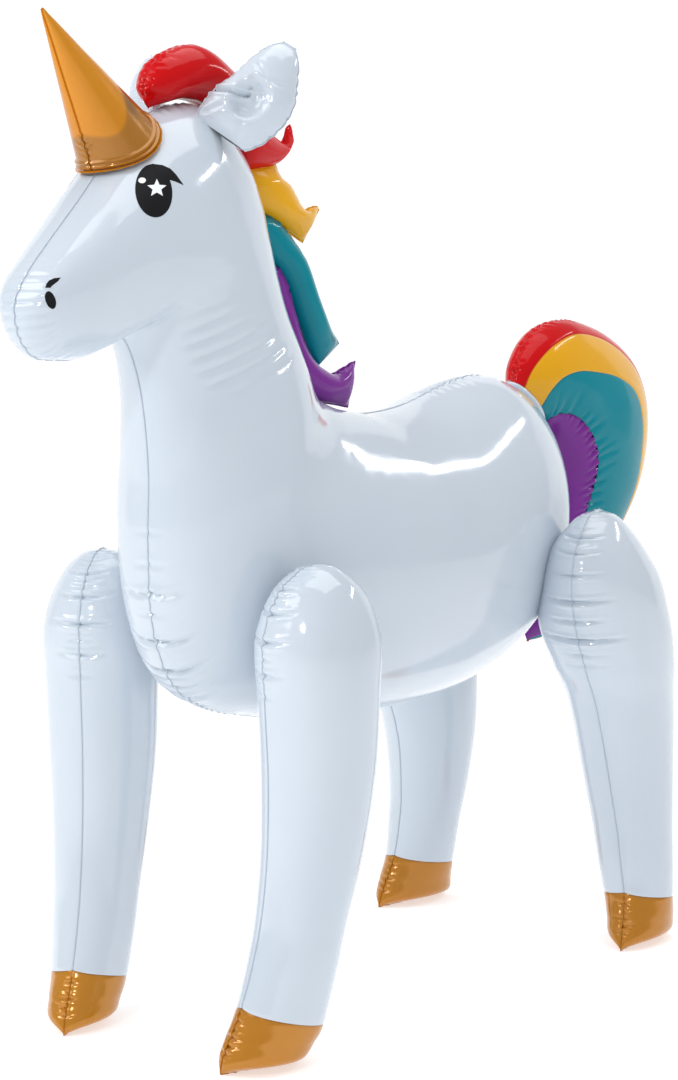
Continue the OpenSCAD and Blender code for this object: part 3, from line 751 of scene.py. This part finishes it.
def pressed_on_body(verts, side):
    """Stops a leg's film at the body's, where the two chambers push against each other."""
    flip = np.array([1 if side == "left" else -1, 1, 1])
    count = len(verts) // 2
    move = np.zeros((count, 3))
    for k, point in enumerate(verts[:count] * flip):
        hit, normal, _, _ = left_body.find_nearest(Vector(point), PRESS_REACH)
        if hit is not None:
            short = PRESS_GAP * MM - (Vector(point) - hit).dot(normal)
            if short > 0:
                move[k] = normal * short
    return verts + np.tile(move, (2, 1)) * flip


def make_leg(leg, place, end, side, folds, seed):
    """The outer and inner film of a leg, and its hoof's two films as one piece."""
    if side == "right":
        place = mirror_place(place)
    hoof = []
    for way, outward in (("outer", True), ("inner", False)):
        here = place if outward else facing_back(place)
        sheet, lean = leg_sheet(leg, outward, HOOF_END, len(leg) - 1, LEG_ROWS, folds, seed)
        verts, faces, _ = film_sheet(sheet, here, ("back", "end", "front"), lean=lean)
        if not outward:
            verts = pressed_on_body(verts, side)
        finish_film(mesh_piece(f"leg_{end}_{side}_{way}_film", verts, faces, WHITE),
                    f"leg_{end}_{side}_{way}")
        sheet, lean = leg_sheet(leg, outward, 0, HOOF_END, HOOF_ROWS, (), seed + 7)
        border_line = np.exp(-(sheet.from_edge["end"] / 1.6) ** 2)
        tone = 0.38 + 0.55 * border_line
        hoof.append(film_sheet(sheet, here, ("front", "start", "back"), lean=lean, tone=tone))
    verts, faces, tone = joined(hoof)
    finish_film(mesh_piece(f"hoof_{end}_{side}_film", verts, faces, GOLD, tone),
                f"hoof_{end}_{side}")


for side in ("left", "right"):
    make_leg(FRONT_LEG, FRONT_PLACE, "front", side, FRONT_FOLDS, 21)
    make_leg(REAR_LEG, REAR_PLACE, "rear", side, REAR_FOLDS, 31)


# ---- Horn ----

HORN_ROWS, HORN_COLS = 150, 44
# Folds across the horn's two seams: distance from its base, reach and depth
HORN_FOLDS = [(20, 16, 1.6), (27, 20, 1.8), (36, 13, 1.2), (48, 9, 0.8)]
GATHER_END, GATHER_STEP, GATHER_H = 13, 6.5, 3.0     # rings of gathered film at the base


def horn_painted_shade(up, angle):
    """Painted shade: a wavy dark band at the base, where the dark inside of the head shows through the film,
    and the far weld seen through it.
    """
    band = 62 + 18 * np.sin(angle)[None, :] + 6 * np.sin(3 * angle)[None, :]
    weld = np.exp(-((up - band + 16) / 12) ** 2) * (angle > 0.2)[None, :]
    return np.clip(np.clip((band - up) / 6, 0, 1) * 0.62 + 0.45 * weld, 0, 1)


def make_horn():
    up = np.linspace(0, 1, HORN_ROWS + 1)
    half = (HORN_BACK - HORN_FRONT) / np.linalg.norm(HORN_BACK - HORN_FRONT) * HORN_TIP_R
    front = HORN_FRONT + (HORN_TIP - half - HORN_FRONT) * up[:, None]
    back = HORN_BACK + (HORN_TIP + half - HORN_BACK) * up[:, None]
    stations = list(zip(front, back, HORN_R + (HORN_TIP_R - HORN_R) * up))
    angle = angles(HORN_COLS)
    grid = section_grid(stations, np.arange(HORN_ROWS + 1.0), angle, drop=HORN_DROP * (1 - up))
    sheet = Sheet(grid, up)
    sheet.groove(("front", "back"), depth=1.0, width=3.0)
    from_base = sheet.from_edge["start"]
    sheet.relief += GATHER_H * abs(np.sin(math.pi * from_base / GATHER_STEP)) * (from_base < GATHER_END)
    for at, reach, depth in HORN_FOLDS:
        for edge in ("front", "back"):
            sheet.crease(edge, at, reach, depth, width=2.4, tilt=0.3)
    sheet.ripple(height=0.25, size=60, seed=41)
    # painted shade: the dark base band and the far weld seen through the film, mixed into the gold as tone
    tone = horn_painted_shade(from_base, angle)
    for side, place in (("left", PLAIN), ("right", mirror_place(PLAIN))):
        verts, faces, tones = film_sheet(sheet, place, ("back", "front"), flange=1.8, tone=tone)
        finish_film(mesh_piece(f"horn_film_{side}", verts, faces, GOLD, tones),
                    f"horn_{side}_panel")


make_horn()


# ---- Ears ----

EAR_ROWS, EAR_COLS = 90, 44
OVAL_MIDDLE, OVAL_SIZE = (-3, 50), (20, 25)
OVAL_DEPTH, OVAL_RIM = 19, 2.4
# Folds of the inner film: line, depth and width
EAR_FOLDS = [
    ([(-54, 36), (-30, 45), (-11, 55)], 7.0, 2.8), ([(-13, 55), (-17, 78), (-5, 80)], 2.6, 2.4),
    ([(-20, 96), (0, 84), (22, 88)], 1.8, 3.0), ([(-44, 4), (-30, 22)], 2.0, 3.0),
    ([(10, 2), (6, 18)], 1.6, 3.0),
]


def ear_place():
    along = (EAR_TIP - EAR_BASE) / np.linalg.norm(EAR_TIP - EAR_BASE)
    across = EAR_SIDE - EAR_SIDE @ along * along
    across /= np.linalg.norm(across)
    return np.array([EAR_BASE + CENTRE, np.cross(along, across), across, along])


def ear_sheet(seed):
    t = even_rows(EAR, EAR_ROWS)
    sheet = Sheet(section_grid(EAR, t, angles(EAR_COLS)), t)
    sheet.groove(("back", "end", "front"), depth=1.0, width=3.0)
    sheet.fan("front", 20, 140, count=8, reach=14, depth=1.2, width=2.6, seed=seed)
    sheet.fan("back", 20, 140, count=8, reach=14, depth=1.2, width=2.6, seed=seed + 2)
    return sheet


def press_oval(sheet):
    """Sinks the inner film where it is welded to the outer one, an oval in the middle of the ear."""
    across = (sheet.grid[..., 1] - OVAL_MIDDLE[0]) / OVAL_SIZE[0]
    along = (sheet.grid[..., 2] - OVAL_MIDDLE[1]) / OVAL_SIZE[1]
    oval = np.sqrt(across ** 2 + along ** 2)
    sunk = 1 / (1 + np.exp((oval - 1.05) * 9))
    sheet.relief -= OVAL_DEPTH * sunk - OVAL_RIM * np.exp(-((oval - 0.72) / 0.14) ** 2)


def make_ears():
    inner, outer = ear_sheet(51), ear_sheet(52)
    press_oval(inner)
    for line, depth, width in EAR_FOLDS:
        inner.fold(line, depth, width)
    for side in ("left", "right"):
        place = ear_place() if side == "left" else mirror_place(ear_place())
        parts = [film_sheet(sheet, here, ("back", "end", "front"), flange=2.0)
                 for sheet, here in ((inner, facing_back(place)), (outer, place))]
        verts, faces, _ = joined(parts)
        finish_film(mesh_piece(f"ear_film_{side}", verts, faces, WHITE), f"ear_{side}")


make_ears()


# ---- Mane ----

MANE_COLS = 40
PUCKER_STEP = 15      # distance between the fine puckers along a strip


def both_sides(sheet, seams, flange, tone=None):
    """The left and right film of a chamber as one mesh."""
    return joined([film_sheet(sheet, place, seams, flange, tone=tone)
                   for place in (PLAIN, mirror_place(PLAIN))])


def make_mane(colour, stations, material, rows, seed):
    t = even_rows(stations, rows)
    sheet = Sheet(section_grid(stations, t, angles(MANE_COLS)), t)
    sheet.groove(("front", "back"), depth=1.0, width=3.0)
    length = sheet.along_edge["front"][-1, 0]
    sheet.fan("front", 10, length - 8, int(length / PUCKER_STEP), reach=17, depth=1.0, width=2.6, seed=seed)
    sheet.fan("front", 6, 70, count=7, reach=26, depth=1.6, width=3.0, seed=seed + 5, tilt=0.3)
    sheet.ripple(height=0.35, size=50, seed=seed + 1)
    verts, faces, tone = both_sides(sheet, ("back", "front"), flange=2.2)
    finish_film(mesh_piece(f"mane_{colour}_film", verts, faces, material, tone),
                f"mane_{colour}")


make_mane("red", MANE_RED, RED, rows=140, seed=61)
make_mane("yellow", MANE_YELLOW, YELLOW, rows=90, seed=62)
make_mane("teal", MANE_TEAL, TEAL, rows=110, seed=63)
make_mane("purple", MANE_PURPLE, PURPLE, rows=110, seed=64)


# ---- Tail ----

TAIL_ROWS = 300
# Colours across the tail: name, material and columns
TAIL_BANDS = (("red", RED, 24), ("yellow", YELLOW, 20), ("teal", TEAL, 34), ("purple", PURPLE, 30))
TAIL_SEAMS = {"red": ("front",), "purple": ("back",)}
# Puckers along a colour's edge: the edge, its first and last part of the edge's length, the number of
# puckers, reach, depth, width and seed
TAIL_PUCKERS = {
    "red": ("front", 0, 0.55, 34, 20, 1.9, 2.6, 71), "purple": ("front", 0.12, 0.8, 26, 26, 2.3, 2.8, 72),
    "teal": ("back", 0.02, 0.7, 20, 52, 1.6, 3.4, 73),
}
RED_START, RED_TILT = 20, 0.5     # distance to the red's first pucker, and their slant


def add_tail_relief(sheet, colour):
    sheet.groove(TAIL_SEAMS.get(colour, ()), depth=1.2, width=3.4)
    if colour in TAIL_PUCKERS:
        edge, first, last, *row = TAIL_PUCKERS[colour]
        length = sheet.along_edge[edge][-1, 0]
        start, tilt = (RED_START, RED_TILT) if colour == "red" else (0, 0)
        sheet.fan(edge, start + length * first, length * last, *row, tilt)
    sheet.groove(("front", "back"), depth=0.7, width=1.8)
    sheet.ripple(height=0.4, size=90, seed=74)


def make_tail():
    t = even_rows(TAIL, TAIL_ROWS)
    bounds = [np.zeros(len(t))] + [curve(column(TAIL, k), t) for k in (3, 4, 5)] + [np.ones(len(t))]
    for (colour, material, cols), low, high in zip(TAIL_BANDS, bounds, bounds[1:]):
        first, last = (np.arcsin(np.clip(2 * bound - 1, -1, 1)) for bound in (low, high))
        part = (angles(cols, 0.35) / math.pi + 0.5)[None, :]
        sheet = Sheet(section_grid(TAIL, t, first[:, None] + (last - first)[:, None] * part), t)
        add_tail_relief(sheet, colour)
        tone = np.zeros(sheet.grid.shape[:2])
        if colour != "red":
            tone += 0.9 * np.exp(-(sheet.from_edge["front"] / 1.3) ** 2)
        verts, faces, tones = both_sides(sheet, TAIL_SEAMS.get(colour, ()), flange=2.4, tone=tone)
        finish_film(mesh_piece(f"tail_{colour}_film", verts, faces, material, tones),
                    f"tail_{colour}")


make_tail()


COLLAR_ROWS, COLLAR_COLS = 20, 30
COLLAR_BULGE = 10


def make_collar():
    t = np.linspace(0, 1, COLLAR_ROWS + 1)
    sheet = Sheet(section_grid(COLLAR, t, angles(COLLAR_COLS)), t)
    sheet.relief += COLLAR_BULGE * np.sin(math.pi * t)[:, None]
    verts, faces, _ = both_sides(sheet, ("back", "front"), flange=1.6)
    finish_film(mesh_piece("tail_collar_film", verts, faces, WHITE), "tail_collar")


make_collar()


# ---- Printed eyes and nostrils ----

PRINT_FROM = 37.4     # direction from which the prints are drawn, in degrees from the front
INK_UNDER = 0.02      # height of the ink's underside above the film


def ellipse(centre, rx, ry, end, count, turn=0):
    """Points round an ellipse, from 0 degrees to just before the start, with its axes turned."""
    a = np.radians(np.linspace(0, end, count))
    c, s = math.cos(math.radians(turn)), math.sin(math.radians(turn))
    x, y = rx * np.cos(a), ry * np.sin(a)
    return np.stack([centre[0] + c * x - s * y, centre[1] + s * x + c * y], 1)


def star_outline(centre, r, turn):
    """A plain five-pointed star."""
    a = np.radians(np.arange(10) * 36 + turn)
    size = np.where(np.arange(10) % 2 == 0, r, r * 0.45)
    return centre + np.stack([size * np.cos(a), size * np.sin(a)], 1)


def ink_layer(outline, lift, spacing):
    """Ink on the left of the head: an outline (across, height) seen from half front, laid on the film."""
    outline = np.asarray(outline, float)
    low, high = outline.min(0), outline.max(0)
    inside = [(u, z) for u in np.arange(low[0], high[0], spacing)
              for z in np.arange(low[1], high[1], spacing)]
    points = [Vector(p) for p in list(map(tuple, outline)) + inside]
    count = len(outline)
    edges = [(k, (k + 1) % count) for k in range(count)]
    flat, _, faces, *_ = geometry.delaunay_2d_cdt(points, edges, [list(range(count))], 1, 1e-4)
    across, away = (Vector(v) for v in turned(PRINT_FROM))
    top, under = [], []
    for u, z in flat:
        start = (across * u + Vector((0, CENTRE[1], z))) * MM - away
        hit, normal, _, _ = left_body.ray_cast(start, away)
        if normal.dot(away) > 0:
            normal = -normal
        top.append(hit + normal * lift * MM)
        under.append(hit + normal * INK_UNDER * MM)
    n = len(top)
    faces = [list(face) for face in faces]
    for face in faces:
        a, b, c = (top[k] for k in face[:3])
        if (b - a).cross(c - a).dot(away) > 0:
            face.reverse()
    directed = {(face[k], face[(k + 1) % len(face)]) for face in faces for k in range(len(face))}
    rim = [[b, a, a + n, b + n] for a, b in directed if (b, a) not in directed]
    shell = faces + [[k + n for k in reversed(face)] for face in faces] + sorted(rim)
    return np.array([tuple(v) for v in top + under]), shell


def print_on_film(name, outline, lift, material, spacing=3.0, sides=("left", "right")):
    """Ink on the given sides of the head. On the right it is a mirror image."""
    verts, faces = ink_layer(outline, lift, spacing)
    for side in sides:
        if side == "left":
            piece = mesh_piece(f"{name}_{side}", verts, faces, material)
        else:
            mirrored = [list(reversed(face)) for face in faces]
            piece = mesh_piece(f"{name}_{side}", verts * (-1, 1, 1), mirrored, material)
        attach(piece, "figure")


EYE = np.array([-282.5, 1174])
STAR, GLINT = EYE + (4, 3), EYE + (-15, 13)
LASH = [[-4, 36], [10, 34.5], [20, 30], [27, 23], [32, 16], [37, 9], [27, 13], [16, 16], [4, 18]]
NOSTRIL = np.array([-405, 1040])
FAR_NOSTRIL = NOSTRIL + (14, 0)
COMMA = [[-6.5, 6], [-5, 11], [-2, 15], [4, 18], [12.5, 19], [9, 14], [4.6, 10.5], [0, 6]]
print_on_film("eye_oval", ellipse(EYE, 23, 35.5, end=354, count=60, turn=8), 0.30, INK)
print_on_film("eye_lash", EYE + LASH, 0.34, INK, spacing=2.5)
print_on_film("eye_star", star_outline(STAR, r=12.5, turn=92), 0.45, PRINT_WHITE, spacing=2.0)
print_on_film("eye_glint", ellipse(GLINT, 4.8, 3.8, end=350, count=20), 0.45, PRINT_WHITE, spacing=2.0)
for side, at in (("left", NOSTRIL), ("right", FAR_NOSTRIL)):
    low_part = ellipse(at + (0.4, -9.5), 6.2, 11.4, end=350, count=24, turn=18)
    print_on_film("nostril_low", low_part, 0.3, INK, spacing=2.0, sides=(side,))
    print_on_film("nostril_high", at + COMMA, 0.3, INK, spacing=2.0, sides=(side,))


# ---- Holes in the film under the valves ----

HOLE_R = 10           # the valve's base ring covers the hole's edge
HOLE_SIDES = 12
HOLE_REACH = 30       # faces this near the middle of the hole may be cut


def ring_axis(name):
    """Middle and axis of a flat ring of the CAD."""
    node = frame["nodes"][name]
    points = np.array([node.matrix_world @ v.co for v in node.data.vertices])
    middle = (points.min(0) + points.max(0)) / 2
    return Vector(middle), Vector(np.linalg.svd(points - points.mean(0), full_matrices=False)[2][2])


def open_hole(film, ring):
    """Cuts a round hole through both skins of a film, and closes its edge."""
    centre, axis = ring_axis(ring)
    side = axis.orthogonal().normalized()
    bm = bmesh.new()
    bm.from_mesh(bpy.data.objects[film].data)
    outward = [Quaternion(axis, 2 * math.pi * k / HOLE_SIDES) @ side for k in range(HOLE_SIDES)]
    near = [f for f in bm.faces if (f.calc_center_median() - centre).length < HOLE_REACH * MM]
    for way in outward:
        parts = {g for f in near for g in (f, *f.edges, *f.verts)}
        cut = bmesh.ops.bisect_plane(bm, geom=list(parts), plane_co=centre + way * HOLE_R * MM, plane_no=way)
        near = [g for g in cut["geom"] if isinstance(g, bmesh.types.BMFace)]
    inside = [f for f in near if all((f.calc_center_median() - centre).dot(w) < HOLE_R * MM for w in outward)]
    bmesh.ops.delete(bm, geom=inside, context="FACES")
    edge = [e for e in bm.edges if e.is_boundary and (e.verts[0].co - centre).length < 2 * HOLE_R * MM]
    bmesh.ops.bridge_loops(bm, edges=edge)
    bm.to_mesh(bpy.data.objects[film].data)
    bm.free()


open_hole("body_film_right", "body_valve_base")
open_hole("mane_teal_film", "mane_valve_base")
open_hole("tail_teal_film", "tail_valve_base")


# ---- CAD nodes that stay in view ----

def dress(node, material):
    """Gives a CAD node its one material."""
    node.data.materials.clear()
    node.data.materials.append(material)


for name, node in frame["nodes"].items():
    if "valve" in name:
        dress(node, VALVE)
    elif name.startswith("sleeve"):
        dress(node, WHITE)
    elif name == "horn_weld_ring":
        dress(node, GOLD)


# ---- Studio ----

# Floor and wall, in metres: half width, where the floor starts to curve, radius of the curve, height
STUDIO_WIDE, STUDIO_REACH, STUDIO_RADIUS, STUDIO_HEIGHT = 16.0, 9.0, 2.0, 9.0
CURVE_STEPS = 24
PAPER, PAPER_ROUGH, PAPER_GLOW = (0.70, 0.704, 0.708), 0.9, 0.79
WORLD_COLOUR, WORLD_STRENGTH = (0.95, 0.97, 1.0), 0.50
AIM = Vector((0, 0, 0.8))
# Area lights, all aimed at the figure: place, width and height in metres, power in watts
LIGHTS = {
    "soft_key": ((-1.6, -3.2, 3.2), (2.6, 2.2), 48),
    "front_box": ((0.9, -3.3, 2.2), (0.36, 0.26), 20),
    "far_front_box": ((-2.0, -2.6, 2.3), (0.3, 0.3), 14),
    "side_strip": ((1.75, 2.6, 2.85), (2.0, 0.18), 18),
    "top_soft": ((0.5, 0.1, 3.9), (2.8, 2.8), 50),
}


def paper_material():
    """Matt paper that glows a little, so that the floor shows as white."""
    material = bpy.data.materials.new("studio_paper")
    material.use_nodes = True
    shader = material.node_tree.nodes["Principled BSDF"]
    shader.inputs["Base Color"].default_value = (*PAPER, 1)
    shader.inputs["Roughness"].default_value = PAPER_ROUGH
    shader.inputs["Emission Color"].default_value = (*PAPER, 1)
    shader.inputs["Emission Strength"].default_value = PAPER_GLOW
    return material


def add_studio():
    """A pale floor that curves up into a wall behind the figure."""
    profile = [(-STUDIO_WIDE, 0.0), (STUDIO_REACH, 0.0)]
    for k in range(1, CURVE_STEPS + 1):
        a = math.radians(90 * k / CURVE_STEPS)
        profile.append((STUDIO_REACH + STUDIO_RADIUS * math.sin(a), STUDIO_RADIUS * (1 - math.cos(a))))
    profile.append((STUDIO_REACH + STUDIO_RADIUS, STUDIO_HEIGHT))
    right, away = (way[:2] for way in turned(CAMERA_AZIMUTH))
    verts = [(*(right * x + away * d), z) for d, z in profile for x in (-STUDIO_WIDE, STUDIO_WIDE)]
    faces = [(2 * k, 2 * k + 1, 2 * k + 3, 2 * k + 2) for k in range(len(profile) - 1)]
    floor = mesh_piece("studio_floor", verts, faces, paper_material())


def add_light(name, place, size, power):
    light = bpy.data.lights.new(name, "AREA")
    light.shape = "RECTANGLE"
    light.size, light.size_y = size
    light.energy = power
    lamp = bpy.data.objects.new(name, light)
    lamp.location = place
    lamp.rotation_euler = (Vector(place) - AIM).to_track_quat("Z", "Y").to_euler()
    bpy.context.scene.collection.objects.link(lamp)


def add_world():
    world = bpy.data.worlds.new("studio")
    world.use_nodes = True
    background = world.node_tree.nodes["Background"]
    background.inputs["Color"].default_value = (*WORLD_COLOUR, 1)
    background.inputs["Strength"].default_value = WORLD_STRENGTH
    bpy.context.scene.world = world


add_studio()
add_world()
for name, (place, size, power) in LIGHTS.items():
    add_light(name, place, size, power)

bpy.context.scene.view_settings.view_transform = "Standard"
